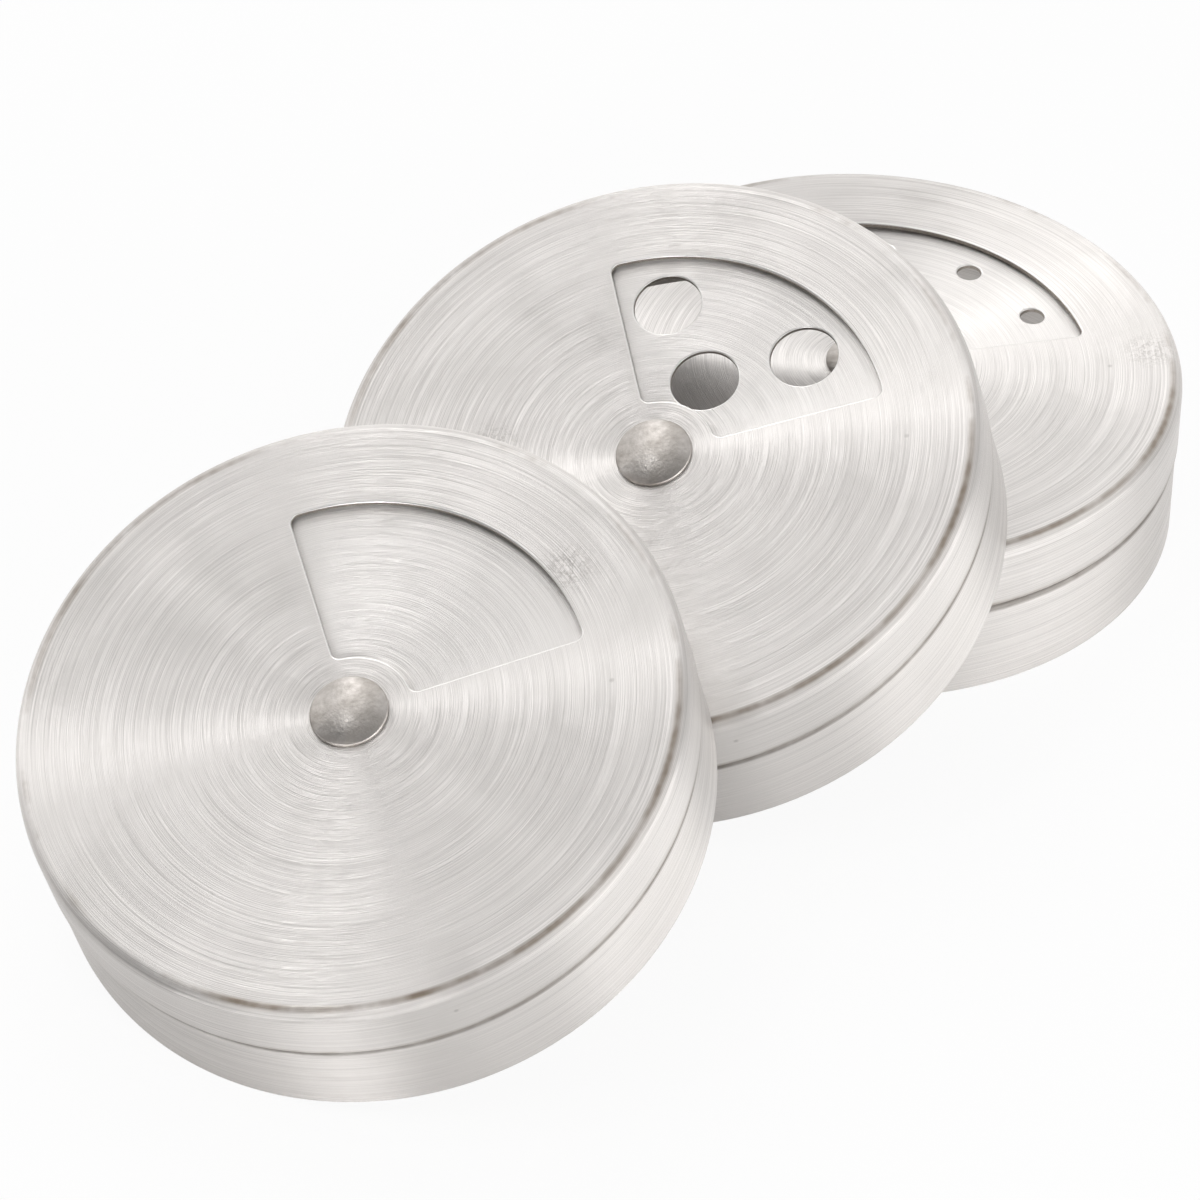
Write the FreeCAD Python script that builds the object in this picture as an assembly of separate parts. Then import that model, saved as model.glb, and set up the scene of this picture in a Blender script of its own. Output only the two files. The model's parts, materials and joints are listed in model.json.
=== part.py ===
import FreeCAD, Part
import math
import os

# Three rotating shaker lids, two of them leaning on the next one in the row.
# Sizes are in millimetres. A lid's own frame has its mouth edge at z = 0 and its axis on +Z.

# Sheet and outline
sheet = 0.5                 # thickness of both drawn cups
dial_radius = 35.0          # outside of the dial's skirt
lid_height = 18.7           # mouth edge to dial face
dial_skirt = 7.5            # dial face to the skirt's lower edge
dial_round = 1.3            # outside rounding of the dial's drawn edge
neck_round = 1.0            # outside rounding of the neck's drawn edge
band_set_in = 0.2           # the band's wall lies this far inside the dial's
shoulder_rise = 1.1         # height of the curve from band to neck

# Clearances
skirt_gap = 0.3             # dial's skirt to neck
seam_gap = 0.4              # dial's lower edge to shoulder
running_gap = 0.05          # dial and spacer around the rivet
clinch_gap = 0.02           # cap and backing washer around the rivet
head_gap = 0.05             # rivet head to dial face
lean_gap = 0.3              # leaning lid to the lid that carries it

# Window in the dial
window_outer = 25.0         # radius of the outer arc
window_inner = 6.6          # radius of the inner arc
window_sweep = 91.0         # degrees between the straight sides
window_corner = 1.0         # corner radius

# Rivet and washers
shank_radius = 2.0
head_radius = 4.1
head_edge = 0.35            # straight part of the head's edge
head_rise = 1.35            # dial face to the top of the dome
spacer_thick = 0.35
spacer_radius = 5.4
backing_thick = 0.6
backing_radius = 5.0
tail_radius = 3.2
tail_thick = 0.8

# Hole groups in the cap: hole diameter, then radius and angle within the group
large_hole = 7.4
large_group = [(19.35, -26.0), (19.35, 26.0), (10.6, 0.0)]
small_hole = 2.7
small_group = [(21.3, -27.8), (21.3, 0.0), (21.3, 27.8), (12.0, 0.0)]
medium_hole = 4.6
medium_group = [(20.6, -26.0), (20.6, 0.0), (20.6, 26.0), (11.6, 0.0)]
group_step = 90.0           # degrees from one group to the next

# Row layout: mouth centre of each leaning lid from the lid that carries it
middle_step = dial_radius * 31.9 / 35
middle_azimuth = 234.6
middle_lean_azimuth = 236.8     # where the leaning lid faces
front_step = dial_radius * 52.8 / 35
front_azimuth = 235.2
front_lean_azimuth = 241.0

# Each lid: azimuth of its window, and azimuth of its blank quarter from the window
back_turn = (59.8, 177.1)
middle_turn = (55.8, -85.6)
front_turn = (60.8, 0.0)

dial_foot = lid_height - dial_skirt
neck_radius = dial_radius - sheet - skirt_gap
band_radius = dial_radius - band_set_in
shoulder_top = dial_foot - seam_gap
shoulder_foot = shoulder_top - shoulder_rise
plate_top = lid_height - sheet - spacer_thick
plate_under = plate_top - sheet
edge_ring = band_radius - sheet / 2


def point(radius, z):
    return FreeCAD.Vector(radius, 0, z)


def line(a, b):
    return Part.makeLine(point(*a), point(*b))


def bend(start, end, middle):
    # Quarter curve from start to end, round about the point named middle.
    radius_a = start[0] - middle[0] + end[0] - middle[0]
    rise = start[1] - middle[1] + end[1] - middle[1]
    way = (middle[0] + radius_a * math.sqrt(0.5), middle[1] + rise * math.sqrt(0.5))
    return Part.Arc(point(*start), point(*way), point(*end)).toShape()


def turned(edges):
    face = Part.Face(Part.Wire(edges))
    return face.revolve(FreeCAD.Vector(0, 0, 0), FreeCAD.Vector(0, 0, 1), 360)


def foot_edge(radius, z):
    # Rounded raw edge of a sheet wall whose outside is at the given radius.
    half = sheet / 2
    inside = point(radius - sheet, z + half)
    return Part.Arc(inside, point(radius - half, z), point(radius, z + half)).toShape()


def drill(radius, angle, diameter, low, high):
    turn = math.radians(angle)
    foot = FreeCAD.Vector(radius * math.cos(turn), radius * math.sin(turn), low)
    return Part.makeCylinder(diameter / 2, high - low, foot)


def window_cutter(low, high):
    half = math.radians(window_sweep / 2)

    def at(radius, angle):
        return FreeCAD.Vector(radius * math.cos(angle), radius * math.sin(angle), low)

    edges = [
        Part.makeLine(at(window_inner, -half), at(window_outer, -half)),
        Part.Arc(at(window_outer, -half), at(window_outer, 0), at(window_outer, half)).toShape(),
        Part.makeLine(at(window_outer, half), at(window_inner, half)),
        Part.Arc(at(window_inner, half), at(window_inner, 0), at(window_inner, -half)).toShape(),
    ]
    prism = Part.Face(Part.Wire(edges)).extrude(FreeCAD.Vector(0, 0, high - low))
    upright = []
    for edge in prism.Edges:
        ends = [vertex.Point for vertex in edge.Vertexes]
        if len(ends) == 2 and abs(ends[0].z - ends[1].z) > (high - low) / 2:
            upright.append(edge)
    return prism.makeFillet(window_corner, upright)


def make_dial():
    r, t, top, foot = dial_radius, sheet, lid_height, dial_foot
    bore = shank_radius + running_gap
    round_in = dial_round - t
    edges = [
        foot_edge(r, foot),
        line((r, foot + t / 2), (r, top - dial_round)),
        bend((r, top - dial_round), (r - dial_round, top), (r - dial_round, top - dial_round)),
        line((r - dial_round, top), (bore, top)),
        line((bore, top), (bore, top - t)),
        line((bore, top - t), (r - dial_round, top - t)),
        bend((r - dial_round, top - t), (r - t, top - dial_round), (r - dial_round, top - dial_round)),
        line((r - t, top - dial_round), (r - t, foot + t / 2)),
    ]
    if round_in <= 0:
        raise ValueError("the dial's edge rounding must be larger than the sheet")
    return turned(edges).cut(window_cutter(top - 2 * t, top + t))


def make_cap(blank_angle):
    r, n, t, top = band_radius, neck_radius, sheet, plate_top
    bore = shank_radius + clinch_gap
    swell = ((r + n) / 2 + (r - n) * 0.2, shoulder_foot + shoulder_rise * 0.7)
    inner_swell = (swell[0] - t, swell[1] - t * 0.5)
    outer_curve = Part.Arc(point(r, shoulder_foot), point(*swell), point(n, shoulder_top)).toShape()
    inner_foot = (r - t, shoulder_foot - t * 0.5)
    inner_top = (n - t, shoulder_top - t * 0.5)
    inner_curve = Part.Arc(point(*inner_top), point(*inner_swell), point(*inner_foot)).toShape()
    turn = (n - neck_round, top - neck_round)
    edges = [
        foot_edge(r, 0),
        line((r, t / 2), (r, shoulder_foot)),
        outer_curve,
        line((n, shoulder_top), (n, top - neck_round)),
        bend((n, top - neck_round), (n - neck_round, top), turn),
        line((n - neck_round, top), (bore, top)),
        line((bore, top), (bore, top - t)),
        line((bore, top - t), (n - neck_round, top - t)),
        bend((n - neck_round, top - t), (n - t, top - neck_round), turn),
        line((n - t, top - neck_round), inner_top),
        inner_curve,
        line(inner_foot, (r - t, t / 2)),
    ]
    cap = turned(edges)
    groups = [(large_hole, large_group), (small_hole, small_group), (medium_hole, medium_group)]
    for number, (diameter, group) in enumerate(groups):
        middle = blank_angle + (number + 1) * group_step
        for radius, angle in group:
            cap = cap.cut(drill(radius, middle + angle, diameter, plate_under - t, top + t))
    return cap


def make_rivet():
    low_face = plate_under - backing_thick
    under = lid_height + head_gap
    top = lid_height + head_rise
    rim = under + head_edge
    s = shank_radius
    chord = head_radius * 0.5
    drop = top - rim
    sphere = (head_radius ** 2 + drop ** 2) / (2 * drop)
    way = (chord, top - sphere + math.sqrt(sphere ** 2 - chord ** 2))
    tail = low_face - tail_thick
    edges = [
        line((0, top), (0, tail)),
        line((0, tail), (tail_radius * 0.75, tail)),
        line((tail_radius * 0.75, tail), (tail_radius, low_face - tail_thick * 0.4)),
        line((tail_radius, low_face - tail_thick * 0.4), (tail_radius, low_face)),
        line((tail_radius, low_face), (s, low_face)),
        line((s, low_face), (s, under)),
        line((s, under), (head_radius, under)),
        line((head_radius, under), (head_radius, rim)),
        Part.Arc(point(head_radius, rim), point(*way), point(0, top)).toShape(),
    ]
    return turned(edges)


def make_washer(radius, bore, thick, low):
    foot = FreeCAD.Vector(0, 0, low)
    return Part.makeCylinder(radius, thick, foot).cut(Part.makeCylinder(bore, thick, foot))


def stand(tilt, downhill, x, y):
    # Placement of a lid that leans by tilt degrees and stands on the lowest point of its mouth edge.
    lean = math.radians(tilt)
    half = sheet / 2
    lift = edge_ring * math.sin(lean) + half - half * math.cos(lean)
    face = FreeCAD.Rotation(FreeCAD.Vector(0, 0, 1), downhill)
    tip = FreeCAD.Rotation(FreeCAD.Vector(0, 1, 0), tilt)
    return FreeCAD.Placement(FreeCAD.Vector(x, y, lift), face.multiply(tip).multiply(face.inverted()))


def outside_distance(p):
    # Distance from a point in a lid's own frame to that lid's outline, negative inside it.
    side = math.hypot(p.x, p.y) - (dial_radius - dial_round)
    rise = abs(p.z - lid_height / 2) - (lid_height / 2 - dial_round)
    inner = min(max(side, rise), 0)
    return inner + math.hypot(max(side, 0), max(rise, 0)) - dial_round


def lean_on(carrier, step, azimuth, downhill):
    # The smallest lean at which the band's wall stays clear of the lid that carries it.
    half = sheet / 2
    x = carrier.Base.x + step * math.cos(math.radians(azimuth))
    y = carrier.Base.y + step * math.sin(math.radians(azimuth))
    wall = []
    for level in range(6):
        z = half + (shoulder_foot - half) * level / 5
        for number in range(360):
            turn = math.radians(number)
            wall.append(FreeCAD.Vector(edge_ring * math.cos(turn), edge_ring * math.sin(turn), z))
    low, high = 2.0, 60.0
    for _ in range(30):
        tilt = (low + high) / 2
        to_carrier = carrier.inverse().multiply(stand(tilt, downhill, x, y))
        nearest = min(outside_distance(to_carrier.multVec(p)) for p in wall)
        if nearest - half < lean_gap:
            low = tilt
        else:
            high = tilt
    return stand(high, downhill, x, y), high


def write_lid(name, placement, turns):
    window, blank = turns
    pieces = {
        "dial": make_dial(),
        "sifter_cap": make_cap(blank),
        "rivet": make_rivet(),
        "spacer_washer": make_washer(spacer_radius, shank_radius + running_gap, spacer_thick, plate_top),
        "backing_washer": make_washer(
            backing_radius, shank_radius + clinch_gap, backing_thick, plate_under - backing_thick
        ),
    }
    for piece, shape in pieces.items():
        shape.rotate(FreeCAD.Vector(0, 0, 0), FreeCAD.Vector(0, 0, 1), window)
        shape.Placement = placement.multiply(shape.Placement)
        shape.exportStep("parts/%s_%s.step" % (name, piece))


os.makedirs("parts", exist_ok=True)
back = stand(0, 0, 0, 0)
middle, middle_tilt = lean_on(back, middle_step, middle_azimuth, middle_lean_azimuth)
front, front_tilt = lean_on(middle, front_step, front_azimuth, front_lean_azimuth)
print("lean of the middle lid %.3f, of the front lid %.3f" % (middle_tilt, front_tilt))
for name, place in (("back", back), ("middle", middle), ("front", front)):
    axis = place.Rotation.multVec(FreeCAD.Vector(0, 0, 1))
    print(name, [round(v, 5) for v in place.Base], [round(v, 7) for v in axis])
write_lid("back", back, back_turn)
write_lid("middle", middle, middle_turn)
write_lid("front", front, front_turn)
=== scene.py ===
import json
import math
import bmesh
import bpy
from mathutils import Matrix, Vector


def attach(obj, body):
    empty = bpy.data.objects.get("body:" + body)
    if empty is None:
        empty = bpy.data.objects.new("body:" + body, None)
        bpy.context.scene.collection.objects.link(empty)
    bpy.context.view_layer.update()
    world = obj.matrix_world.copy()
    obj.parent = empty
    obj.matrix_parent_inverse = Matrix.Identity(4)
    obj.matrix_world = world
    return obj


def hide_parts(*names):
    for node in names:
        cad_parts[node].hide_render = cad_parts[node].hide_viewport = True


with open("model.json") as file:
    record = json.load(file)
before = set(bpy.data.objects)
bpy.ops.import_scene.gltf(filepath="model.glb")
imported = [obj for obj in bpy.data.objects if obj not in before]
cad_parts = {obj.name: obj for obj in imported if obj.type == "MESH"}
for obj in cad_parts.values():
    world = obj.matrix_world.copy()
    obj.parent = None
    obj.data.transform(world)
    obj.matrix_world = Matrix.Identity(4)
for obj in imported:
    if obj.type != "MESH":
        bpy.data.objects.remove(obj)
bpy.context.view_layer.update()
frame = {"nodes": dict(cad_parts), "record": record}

mm = 0.001
joints = {j["name"]: j for j in frame["record"]["behaviour"]["joints"]}

# lid sizes in mm, in a lid's own frame: mouth edge at z 0, window towards +x
lid = {"height": 18.7, "sheet": 0.5, "ringSteps": 288, "bendSteps": 8}
lidNames = ["front", "middle", "back"]
windowAzimuth = {"front": 60.8, "middle": 55.8, "back": 59.8}  # where each window looks
blankAngle = {"front": 0.0, "middle": -85.6, "back": 177.1}  # blank quarter, from the window
crispTurn = 30  # degrees past which an edge shades sharp


def lidMatrix(name):
    hinge = joints[name + "_dial_turn"]
    axis = Vector(hinge["axis"]).normalized()
    top = Vector(hinge["pos_m"])
    lean = Vector((0, 0, 1)).rotation_difference(axis).to_matrix().to_4x4()
    turn = Matrix.Rotation(math.radians(windowAzimuth[name]), 4, "Z")
    return Matrix.Translation(top - axis * lid["height"] * mm) @ lean @ turn


# mesh helpers

def newObject(name, bm, crisp=crispTurn):
    mesh = bpy.data.meshes.new(name)
    bm.to_mesh(mesh)
    bm.free()
    mesh.shade_smooth()
    mesh.set_sharp_from_angle(angle=math.radians(crisp))
    obj = bpy.data.objects.new(name, mesh)
    bpy.context.scene.collection.objects.link(obj)
    return obj


def turnedMesh(corners, steps):
    # corners are (radius, z, rounding) in mm, in order round the section
    bm = bmesh.new()
    ring = [bm.verts.new((r * mm, 0, z * mm)) for r, z, _ in corners]
    bm.faces.new(ring)
    for vert, (_, _, rounding) in zip(ring, corners):
        if rounding:
            bmesh.ops.bevel(bm, geom=[vert], offset=rounding * mm, affect="VERTICES",
                            segments=lid["bendSteps"], profile=0.5, material=-1)
    bmesh.ops.delete(bm, geom=bm.faces[:], context="FACES_ONLY")
    bmesh.ops.spin(bm, geom=bm.verts[:] + bm.edges[:], cent=(0, 0, 0), axis=(0, 0, 1),
                   angle=2 * math.pi, steps=steps, use_merge=True)
    bmesh.ops.remove_doubles(bm, verts=bm.verts[:], dist=1e-7)
    bmesh.ops.recalc_face_normals(bm, faces=bm.faces[:])
    return bm


def closeLoops(bm, loops):
    # a closed cutter from edge loops stacked along z
    for low, high in zip(loops, loops[1:]):
        bmesh.ops.bridge_loops(bm, edges=low + high)
    for end in (loops[0], loops[-1]):
        bmesh.ops.edgeloop_fill(bm, edges=end)


# a punched edge, and the material slots of a punched piece
punch = {"slots": 3, "lipSlot": 1, "wallSlot": 2, "wallSlope": 0.1, "weld": 1e-6,
         "rollDegrees": (20, 40, 60, 76)}


def rolledEdge(roll, top):
    # (growth, z) steps up a punched edge, which the punch draws down into a small round
    width, depth = roll
    steps = [(0.0, top - depth)]
    for degrees in punch["rollDegrees"]:
        turn = math.radians(degrees)
        steps.append((width * (1 - math.cos(turn)), top - depth * (1 - math.sin(turn))))
    (lowGrow, lowZ), (highGrow, highZ) = steps[-2:]
    steps.append((2 * highGrow - lowGrow, 2 * highZ - lowZ))  # clear of the sheet's top
    return steps


def cutAway(obj, cutterBm):
    bmesh.ops.recalc_face_normals(cutterBm, faces=cutterBm.faces[:])
    for face in cutterBm.faces:
        upright = abs(face.normal.z) < punch["wallSlope"]
        face.material_index = punch["wallSlot"] if upright else punch["lipSlot"]
    cutter = newObject(obj.name + "_cutter", cutterBm)
    for mesh in (obj.data, cutter.data):
        for _ in range(punch["slots"]):
            mesh.materials.append(None)
    cut = obj.modifiers.new("cut", "BOOLEAN")
    cut.operation = "DIFFERENCE"
    cut.solver = "EXACT"
    cut.object = cutter
    graph = bpy.context.evaluated_depsgraph_get()
    cutMesh = bpy.data.meshes.new_from_object(obj.evaluated_get(graph))
    obj.modifiers.remove(cut)
    oldMesh = obj.data
    obj.data = cutMesh
    bpy.data.meshes.remove(oldMesh)
    bpy.data.objects.remove(cutter)
    cutMesh.name = obj.name
    cutMesh.shade_smooth()
    cutMesh.set_sharp_from_angle(angle=math.radians(crispTurn))
    bm = bmesh.new()
    bm.from_mesh(cutMesh)
    bmesh.ops.remove_doubles(bm, verts=bm.verts[:], dist=punch["weld"])
    for edge in bm.edges:
        if len({face.material_index for face in edge.link_faces}) > 1:
            edge.smooth = False  # the flat sheet stays flat beside a rolled lip
    bm.to_mesh(cutMesh)
    bm.free()


def placeCopy(pattern, name, piece, body, node, turn=0.0):
    # one lid's own copy of a pattern piece, with its place in its mesh
    mesh = pattern.data.copy()
    mesh.name = name + piece
    mesh.transform(lidMatrix(name) @ Matrix.Rotation(math.radians(turn), 4, "Z"))
    mesh.update()
    obj = bpy.data.objects.new(name + piece, mesh)
    bpy.context.scene.collection.objects.link(obj)
    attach(obj, body)
    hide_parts(node)
    return obj


# dial: drawn cup with a quarter window

dial = {"radius": 35.0, "skirt": 7.5, "edgeRound": 1.3, "bendMargin": 0.15, "footRound": 0.16,
        "footStraight": 0.4, "bore": 2.05, "boreLand": 0.3, "edgeRoll": (0.21, 0.13),
        "windowOuter": 25.0, "windowInner": 6.6, "windowSweep": 91.0, "windowCorner": 1.0,
        "outerSteps": 72, "innerSteps": 24, "cornerSteps": 8}


def windowLoop(bm, grow, z):
    half = math.radians(dial["windowSweep"] / 2)
    quarter = math.pi / 2
    corner = dial["windowCorner"]
    outer = dial["windowOuter"] + grow
    inner = dial["windowInner"] - grow
    bulge = corner + grow
    outerTurn = half - math.asin(corner / (outer - bulge))
    innerTurn = half - math.asin(corner / (inner + bulge))
    outerBend = half + quarter - outerTurn
    innerBend = innerTurn + quarter - half
    bendSteps = dial["cornerSteps"]
    level = Vector((0, 0, z * mm))

    def polar(radius, angle):
        return level + Vector((radius * math.cos(angle) * mm, radius * math.sin(angle) * mm, 0))

    def sweep(vert, centre, angle, steps):
        made = bmesh.ops.spin(bm, geom=[vert], cent=centre, axis=(0, 0, 1), angle=angle, steps=steps)
        return [v for v in made["geom_last"] if isinstance(v, bmesh.types.BMVert)][0]

    def sideTo(vert, centre, angle):
        # the straight side, up to the corner round the given centre
        end = bm.verts.new(centre + polar(bulge, angle) - level)
        bm.edges.new((vert, end))
        return end

    known = set(bm.edges)
    first = bm.verts.new(polar(outer, -outerTurn))
    vert = sweep(first, level, 2 * outerTurn, dial["outerSteps"])
    vert = sweep(vert, polar(outer - bulge, outerTurn), outerBend, bendSteps)
    innerCentre = polar(inner + bulge, innerTurn)
    vert = sideTo(vert, innerCentre, half + quarter)
    vert = sweep(vert, innerCentre, innerBend, bendSteps)
    vert = sweep(vert, level, -2 * innerTurn, dial["innerSteps"])
    vert = sweep(vert, polar(inner + bulge, -innerTurn), innerBend, bendSteps)
    outerCentre = polar(outer - bulge, -outerTurn)
    vert = sideTo(vert, outerCentre, -half - quarter)
    last = sweep(vert, outerCentre, outerBend, bendSteps)
    bmesh.ops.pointmerge(bm, verts=[first, last], merge_co=first.co)
    return [e for e in bm.edges if e not in known]


def makeDial():
    r, t, top = dial["radius"], lid["sheet"], lid["height"]
    foot = top - dial["skirt"]
    bend, margin, lip = dial["edgeRound"], dial["bendMargin"], dial["footRound"]
    straight = foot + dial["footStraight"]
    corners = [
        (r, foot, lip), (r, straight, 0), (r, top - bend - margin, 0), (r, top, bend),
        (r - bend - margin, top, 0), (dial["bore"] + dial["boreLand"], top, 0), (dial["bore"], top, 0),
        (dial["bore"], top - t, 0), (r - bend - margin, top - t, 0), (r - t, top - t, bend - t),
        (r - t, top - bend - margin, 0), (r - t, straight, 0), (r - t, foot, lip),
    ]
    obj = newObject("dial_pattern", turnedMesh(corners, lid["ringSteps"]))
    cutter = bmesh.new()
    loops = [windowLoop(cutter, 0, top - 3 * t)]
    loops += [windowLoop(cutter, grow, z) for grow, z in rolledEdge(dial["edgeRoll"], top)]
    closeLoops(cutter, loops)
    cutAway(obj, cutter)
    return obj


# sifter cap: neck under the dial, shoulder, push-on band, plate with the hole groups;
# swell is how far out and up the shoulder bulges, seamDepth where the painted seam shade lies under the
# skirt

cap = {"bandRadius": 34.8, "neckRadius": 34.2, "neckRound": 1.0, "bendMargin": 0.15, "plateTop": 17.85,
       "shoulderRise": 1.1, "shoulderRound": 0.25, "swell": (0.2, 0.7), "swellRound": 0.2,
       "seamGap": 0.4, "seamRound": 0.12, "seamDepth": 0.65,
       "rimRound": 0.2, "rimStraight": 0.5, "bore": 2.02, "edgeRoll": (0.18, 0.11), "holeSteps": 48}
holeGroups = [  # hole diameter, then (radius, angle) of each hole in its quarter
    (7.4, [(19.35, -26.0), (19.35, 26.0), (10.6, 0.0)]),
    (2.7, [(21.3, -27.8), (21.3, 0.0), (21.3, 27.8), (12.0, 0.0)]),
    (4.6, [(20.6, -26.0), (20.6, 0.0), (20.6, 26.0), (11.6, 0.0)]),
]


def holeLoop(bm, centre, radius, z):
    place = Matrix.Translation((centre[0] * mm, centre[1] * mm, z * mm))
    made = bmesh.ops.create_circle(bm, cap_ends=False, radius=radius * mm,
                                   segments=cap["holeSteps"], matrix=place)
    return list({e for v in made["verts"] for e in v.link_edges})


def makeCap():
    r, n, t, top = cap["bandRadius"], cap["neckRadius"], lid["sheet"], cap["plateTop"]
    shoulderTop = lid["height"] - dial["skirt"] - cap["seamGap"]
    shoulderFoot = shoulderTop - cap["shoulderRise"]
    outward, upward = cap["swell"]
    swell = ((r + n) / 2 + (r - n) * outward, shoulderFoot + cap["shoulderRise"] * upward)
    bend, margin = cap["neckRound"], cap["bendMargin"]
    rim, straight = cap["rimRound"], cap["rimStraight"]
    # corners with no rounding keep the runs beside a bend straight
    corners = [
        # outside, from the mouth up
        (r, 0, rim), (r, straight, 0), (r, shoulderFoot - 0.3, 0),
        (r, shoulderFoot + 0.1, cap["shoulderRound"]), (swell[0], swell[1], cap["swellRound"]),
        (n, shoulderTop, cap["seamRound"]), (n, shoulderTop + 0.4, 0), (n, top - bend - margin, 0),
        (n, top, bend), (n - bend - margin, top, 0), (cap["bore"], top, 0),
        # inside, back down
        (cap["bore"], top - t, 0), (n - bend - margin, top - t, 0), (n - t, top - t, bend - t),
        (n - t, top - bend - margin, 0), (n - t, shoulderTop + 0.1, 0), (n - t, shoulderTop - t / 2, 0.1),
        (swell[0] - t, swell[1] - t / 2, cap["swellRound"]),
        (r - t, shoulderFoot - t / 2, cap["shoulderRound"]), (r - t, shoulderFoot - 0.8, 0),
        (r - t, straight, 0), (r - t, 0, rim),
    ]
    obj = newObject("cap_pattern", turnedMesh(corners, lid["ringSteps"]))
    cutter = bmesh.new()
    for place, (diameter, group) in enumerate(holeGroups):
        quarterTurn = 90 * (place + 1)  # the first quarter stays blank
        for radius, angle in group:
            turn = math.radians(quarterTurn + angle)
            centre = (radius * math.cos(turn), radius * math.sin(turn))
            loops = [holeLoop(cutter, centre, diameter / 2, top - 2 * t)]
            for grow, z in rolledEdge(cap["edgeRoll"], top):
                loops.append(holeLoop(cutter, centre, diameter / 2 + grow, z))
            closeLoops(cutter, loops)
    cutAway(obj, cutter)
    return obj


# rivet: domed head, shank, clinched tail

rivet = {"headRadius": 4.1, "headGap": 0.05, "headEdge": 0.35, "headRise": 1.35, "headRound": 0.16,
         "seatRound": 0.05, "shank": 2.0, "tailRadius": 3.2, "tailFlat": 0.7, "tailThick": 0.8,
         "tailChamfer": 0.4, "tailRound": 0.15, "backing": 0.6, "steps": 96, "domeSteps": 10, "crisp": 40}


def makeRivet():
    top = lid["height"] + rivet["headRise"]
    under = lid["height"] + rivet["headGap"]
    rim = under + rivet["headEdge"]
    low = cap["plateTop"] - lid["sheet"] - rivet["backing"]
    tail = low - rivet["tailThick"]
    h, s, r = rivet["headRadius"], rivet["shank"], rivet["tailRadius"]
    drop = top - rim
    ball = (h * h + drop * drop) / (2 * drop)
    outs = [h * k / rivet["domeSteps"] for k in range(rivet["domeSteps"] - 1, 0, -1)]
    dome = [(out, top - ball + math.sqrt(ball * ball - out ** 2), 0) for out in outs]
    corners = [(0, tail, 0), (r * rivet["tailFlat"], tail, rivet["tailRound"]),
               (r, tail + rivet["tailChamfer"], rivet["tailRound"]), (r, low, rivet["seatRound"]),
               (s, low, 0), (s, under, 0), (h, under, rivet["seatRound"]), (h, rim, rivet["headRound"])]
    corners += dome + [(0, top, 0)]
    return newObject("rivet_pattern", turnedMesh(corners, rivet["steps"]), rivet["crisp"])


patterns = {"dial": makeDial(), "cap": makeCap(), "rivet": makeRivet()}
print("patterns shaped")
skins = {}
for name in lidNames:
    body = name + "_lid"
    skins[name, "dial"] = placeCopy(patterns["dial"], name, "_dial_skin", name + "_dial_turning",
                                    name + "_dial")
    skins[name, "cap"] = placeCopy(patterns["cap"], name, "_cap_skin", body,
                                   name + "_sifter_cap", blankAngle[name])
    skins[name, "rivet"] = placeCopy(patterns["rivet"], name, "_rivet_skin", body,
                                     name + "_rivet")
    print("lid placed:", name)
for pattern in patterns.values():
    bpy.data.objects.remove(pattern)


# node helpers

number, vector = "NodeSocketFloat", "NodeSocketVector"


def addNode(tree, kind, inputs=None, **settings):
    node = tree.nodes.new(kind)
    for key, value in settings.items():
        setattr(node, key, value)
    for key, value in (inputs or {}).items():
        if isinstance(value, bpy.types.NodeSocket):
            tree.links.new(value, node.inputs[key])
        else:
            node.inputs[key].default_value = value
    return node


def newGroup(name, inputs, outputs):
    tree = bpy.data.node_groups.new(name, "ShaderNodeTree")
    for label, kind in inputs.items():
        tree.interface.new_socket(name=label, in_out="INPUT", socket_type=kind)
    for label, kind in outputs.items():
        tree.interface.new_socket(name=label, in_out="OUTPUT", socket_type=kind)
    given = addNode(tree, "NodeGroupInput").outputs
    return tree, given, addNode(tree, "NodeGroupOutput").inputs


def calc(tree, operation, a, b=0.0):
    return addNode(tree, "ShaderNodeMath", {0: a, 1: b}, operation=operation).outputs[0]


def times(tree, a, b):
    return calc(tree, "MULTIPLY", a, b)


def vectorCalc(tree, operation, inputs, result=0):
    return addNode(tree, "ShaderNodeVectorMath", inputs, operation=operation).outputs[result]


def ramp(tree, value, fromLow, fromHigh, toLow=0.0, toHigh=1.0, curve="LINEAR"):
    return addNode(tree, "ShaderNodeMapRange", {0: value, 1: fromLow, 2: fromHigh, 3: toLow, 4: toHigh},
                   interpolation_type=curve).outputs[0]


def noise(tree, at, scale, detail=2.0, rough=0.5, twist=0.0):
    return addNode(tree, "ShaderNodeTexNoise", {"Vector": at, "Scale": scale, "Detail": detail,
                                                "Roughness": rough, "Distortion": twist}).outputs["Fac"]


def mixColour(tree, factor, a, b):
    return addNode(tree, "ShaderNodeMix", {0: factor, 6: a, 7: b}, data_type="RGBA").outputs[2]


def splitPlace(tree, place):
    # the three coordinates, the point flattened along the lid's axis, and its radius
    part = addNode(tree, "ShaderNodeSeparateXYZ", {0: place}).outputs
    flat = addNode(tree, "ShaderNodeCombineXYZ", {0: part[0], 1: part[1]}).outputs[0]
    return part, flat, vectorCalc(tree, "LENGTH", {0: flat}, "Value")


# finishes that several materials share

grainLook = {"streakDetail": 3.0, "streakRough": 0.6, "streakShare": 0.9,
             "bandScale": 0.13, "bandDetail": 2.0, "bandShare": 0.1}


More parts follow.
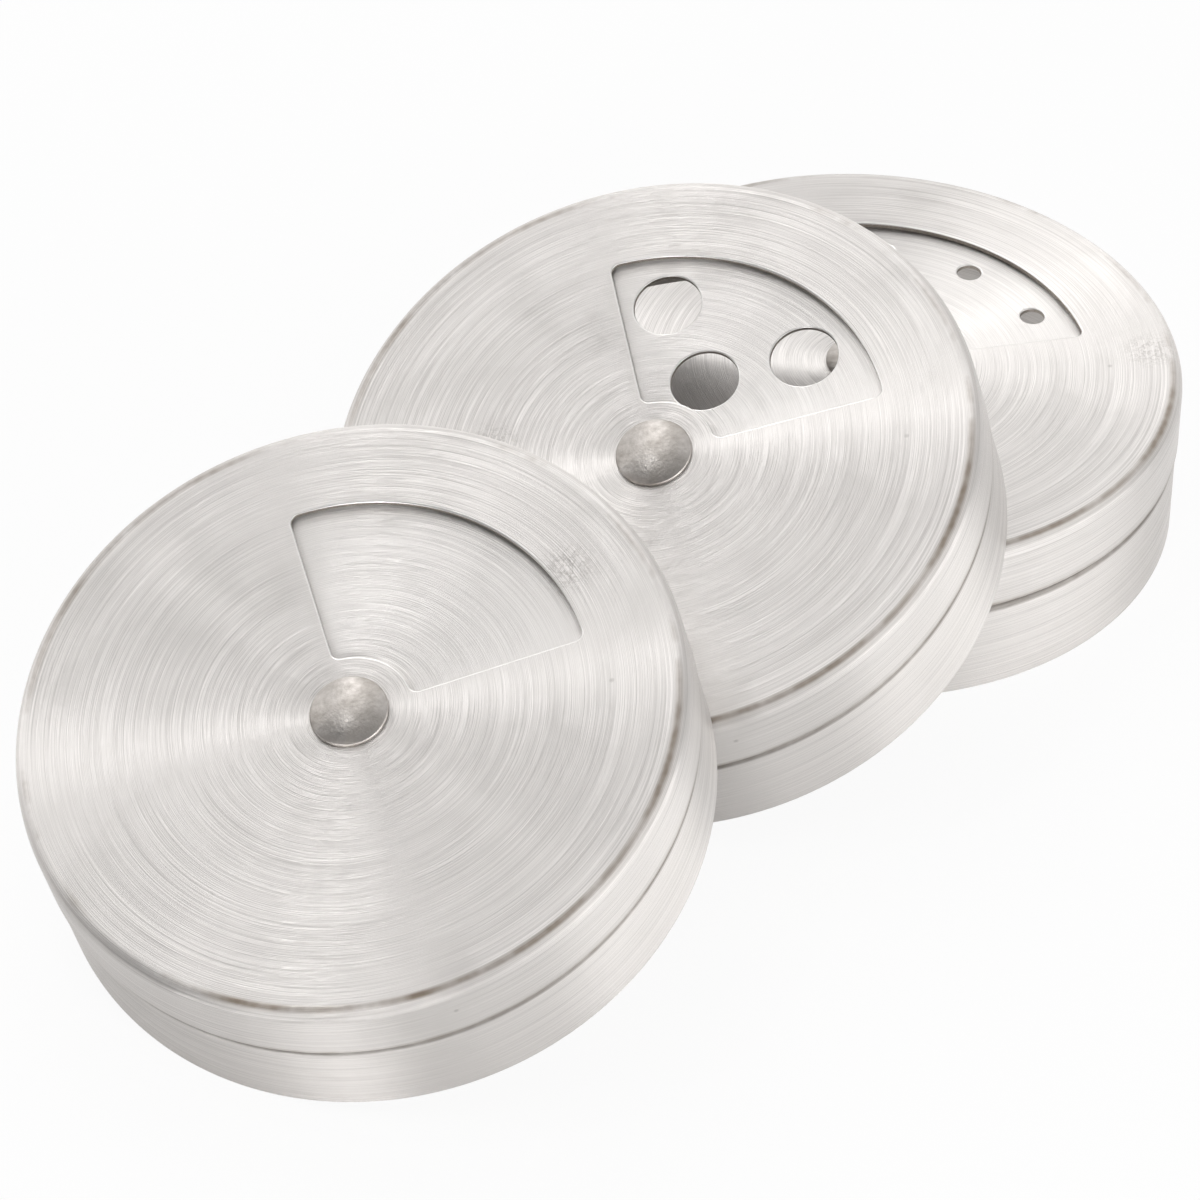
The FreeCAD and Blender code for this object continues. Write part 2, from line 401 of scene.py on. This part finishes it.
def ringGrainGroup():
    # fine lines that run round the lid's axis, on the face and on the skirt alike
    tree, given, out = newGroup("ringGrain", {"Vector": vector, "Lines": number, "Breaks": number},
                                {"Streak": number, "Band": number, "Height": number})
    part, flat, radius = splitPlace(tree, given["Vector"])
    around = vectorCalc(tree, "NORMALIZE", {0: flat})
    around = vectorCalc(tree, "SCALE", {0: around, "Scale": given["Breaks"]})
    side = addNode(tree, "ShaderNodeSeparateXYZ", {0: around}).outputs
    across = calc(tree, "SUBTRACT", radius, part[2])
    fine = times(tree, across, given["Lines"])
    broad = times(tree, fine, grainLook["bandScale"])
    fineAt = addNode(tree, "ShaderNodeCombineXYZ", {0: fine, 1: side[0], 2: side[1]}).outputs[0]
    broadAt = addNode(tree, "ShaderNodeCombineXYZ", {0: broad, 1: side[0], 2: side[1]}).outputs[0]
    streak = noise(tree, fineAt, 1.0, grainLook["streakDetail"], grainLook["streakRough"])
    band = noise(tree, broadAt, 1.0, grainLook["bandDetail"])
    height = calc(tree, "ADD", times(tree, streak, grainLook["streakShare"]),
                  times(tree, band, grainLook["bandShare"]))
    tree.links.new(streak, out["Streak"])
    tree.links.new(band, out["Band"])
    tree.links.new(height, out["Height"])
    return tree


# (low, high) pairs are the range over which a mark comes in; distances in m
marksLook = {"smudgeScale": 62.0, "smudgeDetail": 4.0, "smudgeRough": 0.65, "smudgeTwist": 0.6,
             "smudge": (0.52, 0.78), "speckScale": 230.0, "speck": (0.10, 0.04),
             "rareScale": 170.0, "rare": (0.62, 0.68), "hairScale": 900.0, "hairDetail": 5.0,
             "hairRough": 0.7, "hair": (0.045, 0.0), "spot": (0.0042, 0.0006)}


def handlingGroup():
    # dull finger smudges, small dark specks, and hair scratches round one spot
    look = marksLook
    tree, given, out = newGroup("handling", {"Vector": vector, "Spot": vector},
                                {"Smudge": number, "Speck": number, "Scuff": number})
    place = given["Vector"]
    cloud = noise(tree, place, look["smudgeScale"], look["smudgeDetail"], look["smudgeRough"],
                  look["smudgeTwist"])
    cells = addNode(tree, "ShaderNodeTexVoronoi", {"Vector": place, "Scale": look["speckScale"],
                                                   "Randomness": 1.0}).outputs["Distance"]
    dot = ramp(tree, cells, *look["speck"])
    rare = ramp(tree, noise(tree, place, look["rareScale"]), *look["rare"])
    hairs = noise(tree, place, look["hairScale"], look["hairDetail"], look["hairRough"])
    offLine = calc(tree, "ABSOLUTE", calc(tree, "SUBTRACT", hairs, 0.5))
    hair = ramp(tree, offLine, *look["hair"])
    away = vectorCalc(tree, "DISTANCE", {0: place, 1: given["Spot"]}, "Value")
    spot = ramp(tree, away, *look["spot"], curve="SMOOTHSTEP")
    tree.links.new(ramp(tree, cloud, *look["smudge"]), out["Smudge"])
    tree.links.new(times(tree, dot, rare), out["Speck"])
    tree.links.new(times(tree, hair, spot), out["Scuff"])
    return tree


# distances in m: how far in the bend's tint lies, and how far each mark reaches; the seam band and the
# one-sided weighting are painted shade
edgeLook = {"bendIn": 0.00105, "bend": (0.0006, 0.0001), "bendDepth": 0.0006,
            "foot": (0.0007, 0.0001), "footShare": 0.8, "seam": (0.0006, 0.0002),
            "patchScale": 46.0, "patchDetail": 5.0, "patchRough": 0.7, "side": (0.2, 0.85),
            "sideShare": 0.16, "heatTintAndShade": (0.50, 0.76), "seamShade": (0.38, 0.68), "seamShadeLeast": 0.3,
            "faceDepth": 0.0002, "bandTop": 0.0100, "bandStep": 0.0006, "wallDepth": 0.00025}


def drawnEdgeGroup():
    # a brown tint in patches on the drawn bend and the skirt's foot, partly heat tint and partly painted
    # shade heavier on one side of every rim; painted shade, mottled, in the seam under the skirt; painted
    # shade on the inner walls
    look = edgeLook
    tree, given, out = newGroup("drawnEdge", {"Vector": vector, "Top": number, "Rim": number,
                                              "Foot": number, "Side": vector},
                                {"HeatTintAndShade": number, "SeamShade": number, "Inside": number, "Face": number})
    part, flat, radius = splitPlace(tree, given["Vector"])
    inward = calc(tree, "SUBTRACT", given["Rim"], radius)
    down = calc(tree, "SUBTRACT", given["Top"], part[2])
    offBend = calc(tree, "ABSOLUTE", calc(tree, "SUBTRACT", inward, look["bendIn"]))
    onBend = times(tree, ramp(tree, offBend, *look["bend"], curve="SMOOTHSTEP"),
                   calc(tree, "LESS_THAN", down, look["bendDepth"]))
    offFoot = calc(tree, "ABSOLUTE", calc(tree, "SUBTRACT", part[2], given["Foot"]))
    onFoot = ramp(tree, offFoot, *look["foot"], curve="SMOOTHSTEP")
    inSeam = ramp(tree, offFoot, *look["seam"], curve="SMOOTHSTEP")
    patchy = noise(tree, given["Vector"], look["patchScale"], look["patchDetail"], look["patchRough"])
    outward = vectorCalc(tree, "NORMALIZE", {0: flat})
    facing = vectorCalc(tree, "DOT_PRODUCT", {0: outward, 1: given["Side"]}, "Value")
    # painted shade: one side of every rim, set by the given azimuth, gets more of the tint and of the seam's
    # dark band
    shadedSide = ramp(tree, facing, *look["side"], 0.0, look["sideShare"], curve="SMOOTHSTEP")
    stainAndShade = calc(tree, "ADD", patchy, shadedSide)
    marked = calc(tree, "MAXIMUM", onBend, times(tree, onFoot, look["footShare"]))
    # the seam's dark band is painted shade under the skirt, mottled by the patches
    uneven = ramp(tree, stainAndShade, *look["seamShade"], look["seamShadeLeast"], 1.0)
    # painted shade on the lid's inner walls, which lie in shade
    low = calc(tree, "LESS_THAN", part[2], look["bandTop"])  # the band is wider than the neck
    wall = calc(tree, "ADD", times(tree, low, look["bandStep"]),
                calc(tree, "SUBTRACT", given["Rim"], look["wallDepth"]))
    inWall = calc(tree, "LESS_THAN", radius, wall)
    tree.links.new(times(tree, marked, ramp(tree, stainAndShade, *look["heatTintAndShade"])), out["HeatTintAndShade"])
    tree.links.new(times(tree, inSeam, uneven), out["SeamShade"])
    tree.links.new(times(tree, inWall, calc(tree, "GREATER_THAN", down, look["wallDepth"])), out["Inside"])
    tree.links.new(calc(tree, "LESS_THAN", down, look["faceDepth"]), out["Face"])
    return tree


ringGrain = ringGrainGroup()
handling = handlingGroup()
drawnEdge = drawnEdgeGroup()


def newMaterial(name):
    material = bpy.data.materials.new(name)
    material.use_nodes = True
    tree = material.node_tree
    tree.nodes.clear()
    out = addNode(tree, "ShaderNodeOutputMaterial")
    shader = addNode(tree, "ShaderNodeBsdfPrincipled")
    tree.links.new(shader.outputs[0], out.inputs[0])
    return material, tree, shader


def metalSurface(tree, shader, colour, rough, height, relief, depth):
    bump = addNode(tree, "ShaderNodeBump", {"Height": height, "Strength": relief,
                                            "Distance": depth}).outputs[0]
    tree.links.new(colour, shader.inputs["Base Color"])
    tree.links.new(rough, shader.inputs["Roughness"])
    tree.links.new(bump, shader.inputs["Normal"])
    shader.inputs["Metallic"].default_value = 1.0


def lidPlace(tree, name):
    # a point in the lid's own frame, and the way that the brushing runs there
    frameTurn = lidMatrix(name)
    euler = frameTurn.to_euler()
    here = addNode(tree, "ShaderNodeTexCoord").outputs["Object"]
    place = addNode(tree, "ShaderNodeMapping", {"Vector": here, "Location": frameTurn.translation,
                                                "Rotation": euler}, vector_type="TEXTURE").outputs[0]
    around = vectorCalc(tree, "CROSS_PRODUCT", {0: (0, 0, 1), 1: place})
    around = addNode(tree, "ShaderNodeMapping", {"Vector": around, "Rotation": euler},
                     vector_type="VECTOR").outputs[0]
    around = addNode(tree, "ShaderNodeVectorTransform", {0: around}, vector_type="VECTOR",
                     convert_from="OBJECT", convert_to="WORLD").outputs[0]
    return place, vectorCalc(tree, "NORMALIZE", {0: around})


# brushed steel of the dials and caps; scuffAt is (radius in mm, angle from the window)

steel = {"light": (0.83, 0.80, 0.775, 1), "dark": (0.60, 0.575, 0.555, 1), "tone": (0.34, 0.60),
         "band": (0.3, 0.7), "bandShare": 0.18, "clean": (0.94, 0.915, 0.89, 1),
         "smudge": (0.66, 0.64, 0.61, 1), "smudgeShare": 0.3, "smudgeRough": 0.07,
         "speck": (0.22, 0.20, 0.18, 1), "speckShare": 0.55,
         "scuff": (0.34, 0.31, 0.28, 1), "scuffShare": 0.38, "scuffRough": 0.15,
         # the bend's tint colour, partly painted shade, and the colour of the painted seam shade
         "heatTintAndShade": (0.23, 0.18, 0.135, 1), "seamShade": (0.16, 0.14, 0.12, 1),
         # the colour of the painted shade on the inner walls
         "inside": (0.46, 0.43, 0.40, 1), "insideShadeShare": 0.15, "insideShadeRough": 0.06,
         "roughLow": 0.28, "roughHigh": 0.40, "rough": (0.3, 0.7), "anisotropy": 1.0, "acrossTurn": 0.25,
         "lines": 15000.0, "breaks": 1.4, "relief": 0.6, "reliefDepth": 0.0001, "shadeAzimuth": -62.0,
         "scuffAt": {"front": (27.0, -26.8), "middle": (17.7, 114.0), "back": (31.7, -52.6)}}


def shadeSide(name):
    # the side of every rim that gets more painted shade in its tint and seam, in the lid's own frame
    turn = math.radians(steel["shadeAzimuth"] - windowAzimuth[name])
    return math.cos(turn), math.sin(turn), 0.0


def scuffSpot(name):
    radius, angle = steel["scuffAt"][name]
    turn = math.radians(angle)
    return radius * math.cos(turn) * mm, radius * math.sin(turn) * mm, lid["height"] * mm


def brushedSteel(name, lidName, edges):
    material, tree, shader = newMaterial(name)
    place, around = lidPlace(tree, lidName)
    grain = addNode(tree, "ShaderNodeGroup", {"Vector": place, "Lines": steel["lines"],
                                              "Breaks": steel["breaks"]}, node_tree=ringGrain).outputs
    marks = addNode(tree, "ShaderNodeGroup", {"Vector": place, "Spot": scuffSpot(lidName)},
                    node_tree=handling).outputs
    edge = addNode(tree, "ShaderNodeGroup", {"Vector": place, "Top": edges["top"] * mm,
                                             "Rim": edges["rim"] * mm, "Foot": edges["foot"] * mm,
                                             "Side": shadeSide(lidName)}, node_tree=drawnEdge).outputs
    colour = mixColour(tree, ramp(tree, grain["Streak"], *steel["tone"]), steel["dark"], steel["light"])
    broad = ramp(tree, grain["Band"], *steel["band"], steel["bandShare"], 0.0)
    colour = mixColour(tree, broad, colour, steel["dark"])
    # the bend tint, seam and inner wall layers paint shade into the colour
    layers = [(edge["Face"], edges["clean"], "clean"), (marks["Smudge"], steel["smudgeShare"], "smudge"),
              (marks["Speck"], steel["speckShare"], "speck"), (marks["Scuff"], steel["scuffShare"], "scuff"),
              (edge["HeatTintAndShade"], edges["heatTintAndShade"], "heatTintAndShade"), (edge["SeamShade"], edges["seamShade"], "seamShade"),
              (edge["Inside"], steel["insideShadeShare"], "inside")]
    for mask, share, tint in layers:
        colour = mixColour(tree, times(tree, mask, share), colour, steel[tint])
    rough = ramp(tree, grain["Streak"], *steel["rough"], steel["roughHigh"] + edges["roughShift"],
                 steel["roughLow"] + edges["roughShift"])
    for mask, extra in ((marks["Smudge"], steel["smudgeRough"]), (marks["Scuff"], steel["scuffRough"]),
                        (edge["Inside"], steel["insideShadeRough"])):
        rough = calc(tree, "ADD", rough, times(tree, mask, extra))
    metalSurface(tree, shader, colour, rough, grain["Height"], steel["relief"], steel["reliefDepth"])
    tree.links.new(around, shader.inputs["Tangent"])
    shader.inputs["Anisotropic"].default_value = steel["anisotropy"]
    shader.inputs["Anisotropic Rotation"].default_value = steel["acrossTurn"]
    return material


dullMetal = {"light": (0.60, 0.565, 0.535, 1), "dark": (0.40, 0.37, 0.34, 1), "tone": (0.34, 0.62),
             "rough": (0.3, 0.7), "roughLow": 0.34, "roughHigh": 0.50, "cloudScale": 380.0,
             "cloudDetail": 5.0, "cloudRough": 0.6, "pitScale": 2600.0, "relief": 0.4, "reliefDepth": 0.0001}


def wornRivet(name, lidName):
    look = dullMetal
    material, tree, shader = newMaterial(name)
    place, _ = lidPlace(tree, lidName)
    cloud = noise(tree, place, look["cloudScale"], look["cloudDetail"], look["cloudRough"])
    pits = noise(tree, place, look["pitScale"])
    colour = mixColour(tree, ramp(tree, cloud, *look["tone"]), look["dark"], look["light"])
    rough = ramp(tree, cloud, *look["rough"], look["roughHigh"], look["roughLow"])
    metalSurface(tree, shader, colour, rough, pits, look["relief"], look["reliefDepth"])
    return material


# plain steels: the punched edge's burnished lip and torn wall, the wall dark partly from the dull torn steel
# and partly as painted shade of the gap under the sheet, and the hidden washers

lipLook = {"dark": (0.76, 0.74, 0.72, 1), "light": (0.86, 0.84, 0.82, 1), "scale": 3200.0, "detail": 3.0,
           "roughLow": 0.32, "roughHigh": 0.38, "relief": 0.02, "reliefDepth": 0.00004}
wallShadeLook = {"dark": (0.26, 0.23, 0.20, 1), "light": (0.46, 0.42, 0.38, 1), "scale": 3200.0, "detail": 3.0,
            "roughLow": 0.42, "roughHigh": 0.58, "relief": 0.2, "reliefDepth": 0.00004}
washerLook = {"dark": (0.46, 0.46, 0.45, 1), "light": (0.66, 0.66, 0.65, 1), "scale": 700.0, "detail": 4.0,
              "roughLow": 0.28, "roughHigh": 0.45, "relief": 0.15, "reliefDepth": 0.00005}
cloudRange = (0.3, 0.7)  # the noise's usual spread


def plainSteel(name, look):
    material, tree, shader = newMaterial(name)
    here = addNode(tree, "ShaderNodeTexCoord").outputs["Object"]
    cloud = noise(tree, here, look["scale"], look["detail"])
    colour = mixColour(tree, cloud, look["dark"], look["light"])
    rough = ramp(tree, cloud, *cloudRange, look["roughHigh"], look["roughLow"])
    metalSurface(tree, shader, colour, rough, cloud, look["relief"], look["reliefDepth"])
    return material


def dress(obj, *materials):
    slots = obj.data.materials
    for place, material in enumerate(materials):
        if place < len(slots):
            slots[place] = material
        else:
            slots.append(material)


washerSteel = plainSteel("washerSteel", washerLook)
lipSteel = plainSteel("punchedLip", lipLook)
wallShadeSteel = plainSteel("punchedWallShade", wallShadeLook)
seamHeight = lid["height"] - dial["skirt"]
# per piece, the shares of the bend tint with painted shade and of the painted seam shade
dialEdges = {"top": lid["height"], "rim": dial["radius"], "foot": seamHeight,
             "heatTintAndShade": 0.92, "seamShade": 0.0, "clean": 0.0, "roughShift": 0.0}
capEdges = {"top": cap["plateTop"], "rim": cap["neckRadius"], "foot": seamHeight - cap["seamDepth"],
            "heatTintAndShade": 0.2, "seamShade": 0.75, "clean": 0.3, "roughShift": 0.03}
for name in lidNames:
    dress(skins[name, "dial"], brushedSteel(name + "DialSteel", name, dialEdges), lipSteel, wallShadeSteel)
    dress(skins[name, "cap"], brushedSteel(name + "CapSteel", name, capEdges), lipSteel, wallShadeSteel)
    dress(skins[name, "rivet"], wornRivet(name + "RivetMetal", name))
    for washer in ("_spacer_washer", "_backing_washer"):
        for slot in frame["nodes"][name + washer].material_slots:
            slot.material = washerSteel
    print("lid finished:", name)


# studio: pale floor, white surround, soft boxes around the faces

studio = {"aim": (-0.024, -0.034, 0.025), "distance": 0.9, "floorHalf": 3.0, "floorGrey": 0.92,
          "floorRough": 0.9, "floorSeen": 0.92, "floorMirrored": 0.40, "floorUnder": 1.0,
          "ceiling": 0.45, "ceilingRise": (0.35, 0.8), "front": 0.12, "frontTurn": (-0.7, 0.1),
          "litSide": (0.35, 0.94, 0.0)}
softBoxes = {  # azimuth, elevation, width and height in m, power
    "leftBox": (163, 34, 0.18, 0.18, 0.40), "rightBox": (43, 62, 0.14, 0.14, 0.12),
    "backBox": (95, 38, 0.60, 0.44, 0.88), "crownBox": (110, 42, 0.08, 0.08, 0.16),
    "spineBox": (202, 67, 0.06, 0.06, 0.36), "frontBox": (249, 14, 0.20, 0.20, 2.7),
    "cornerBox": (300, 12, 0.90, 0.40, 2.6), "sideBox": (342, 10, 0.90, 0.40, 3.0),
    "topBox": (128, 64, 0.50, 0.50, 1.32),
}


def addSoftBox(name, azimuth, elevation, width, height, power):
    a, e = math.radians(azimuth), math.radians(elevation)
    way = Vector((math.cos(a) * math.cos(e), math.sin(a) * math.cos(e), math.sin(e)))
    lamp = bpy.data.lights.new(name, "AREA")
    lamp.shape = "RECTANGLE"
    lamp.size = width
    lamp.size_y = height
    lamp.energy = power
    obj = bpy.data.objects.new(name, lamp)
    obj.location = Vector(studio["aim"]) + way * studio["distance"]
    obj.rotation_euler = way.to_track_quat("Z", "Y").to_euler()
    bpy.context.scene.collection.objects.link(obj)


def paleFloor():
    bm = bmesh.new()
    bmesh.ops.create_grid(bm, x_segments=1, y_segments=1, size=studio["floorHalf"])
    floor = newObject("floor", bm)
    material, tree, shader = newMaterial("paleFloor")
    grey = studio["floorGrey"]
    shader.inputs["Base Color"].default_value = (grey, grey, grey, 1)
    shader.inputs["Roughness"].default_value = studio["floorRough"]
    shader.inputs["Specular IOR Level"].default_value = 0.0
    rays = addNode(tree, "ShaderNodeLightPath").outputs
    glow = addNode(tree, "ShaderNodeEmission", {"Color": (1, 1, 1, 1), "Strength": 1.0}).outputs[0]
    # the table is lit from below, which shows through the holes of the lid that stands flat on it
    here = addNode(tree, "ShaderNodeTexCoord").outputs["Object"]
    reach = vectorCalc(tree, "LENGTH", {0: here}, "Value")
    under = calc(tree, "LESS_THAN", reach, cap["bandRadius"] * mm)
    mirrored = ramp(tree, under, 0.0, 1.0, studio["floorMirrored"], studio["floorUnder"])
    share = calc(tree, "ADD", times(tree, rays["Is Camera Ray"], studio["floorSeen"]),
                 times(tree, rays["Is Glossy Ray"], mirrored))
    mix = addNode(tree, "ShaderNodeMixShader", {0: share, 1: shader.outputs[0], 2: glow}).outputs[0]
    out = [n for n in tree.nodes if n.bl_idname == "ShaderNodeOutputMaterial"][0]
    tree.links.new(mix, out.inputs[0])
    floor.data.materials.append(material)


def whiteWorld():
    world = bpy.data.worlds.new("studioWorld")
    bpy.context.scene.world = world
    world.use_nodes = True
    tree = world.node_tree
    tree.nodes.clear()
    way = addNode(tree, "ShaderNodeTexCoord").outputs["Generated"]
    side = addNode(tree, "ShaderNodeSeparateXYZ", {0: way}).outputs
    level = ramp(tree, side[2], *studio["ceilingRise"], 1.0, studio["ceiling"])
    # the room behind the camera is unlit, and dims what the steel mirrors
    facing = vectorCalc(tree, "DOT_PRODUCT", {0: way, 1: studio["litSide"]}, "Value")
    dim = ramp(tree, facing, *studio["frontTurn"], studio["front"], 1.0, curve="SMOOTHSTEP")
    rays = addNode(tree, "ShaderNodeLightPath").outputs
    strength = calc(tree, "MAXIMUM", times(tree, level, dim), rays["Is Camera Ray"])
    glow = addNode(tree, "ShaderNodeBackground", {"Color": (1, 1, 1, 1), "Strength": strength}).outputs[0]
    tree.links.new(glow, addNode(tree, "ShaderNodeOutputWorld").inputs[0])


for boxName, box in softBoxes.items():
    addSoftBox(boxName, *box)
paleFloor()
whiteWorld()
print("studio set")

# camera at the photograph's angle
view = {"focalPixels": 8024.0, "imagePixels": 1200, "sensor": 36.0, "near": 0.01,
        "at": (-0.01728, -0.69103, 0.56243), "right": (0.99919, 0.03391, 0.02179),
        "up": (-0.03849, 0.64156, 0.76611)}
lens = bpy.data.cameras.new("photoCamera")
lens.sensor_width = view["sensor"]
lens.lens = view["focalPixels"] / view["imagePixels"] * view["sensor"]
lens.clip_start = view["near"]
camera = bpy.data.objects.new("photoCamera", lens)
right = Vector(view["right"]).normalized()
back = right.cross(Vector(view["up"])).normalized()
up = back.cross(right)
turned = Matrix((right, up, back)).transposed().to_4x4()
camera.matrix_world = Matrix.Translation(view["at"]) @ turned
bpy.context.scene.collection.objects.link(camera)
bpy.context.scene.camera = camera
bpy.context.scene.view_settings.view_transform = "Standard"

print("pieces:", len(skins))
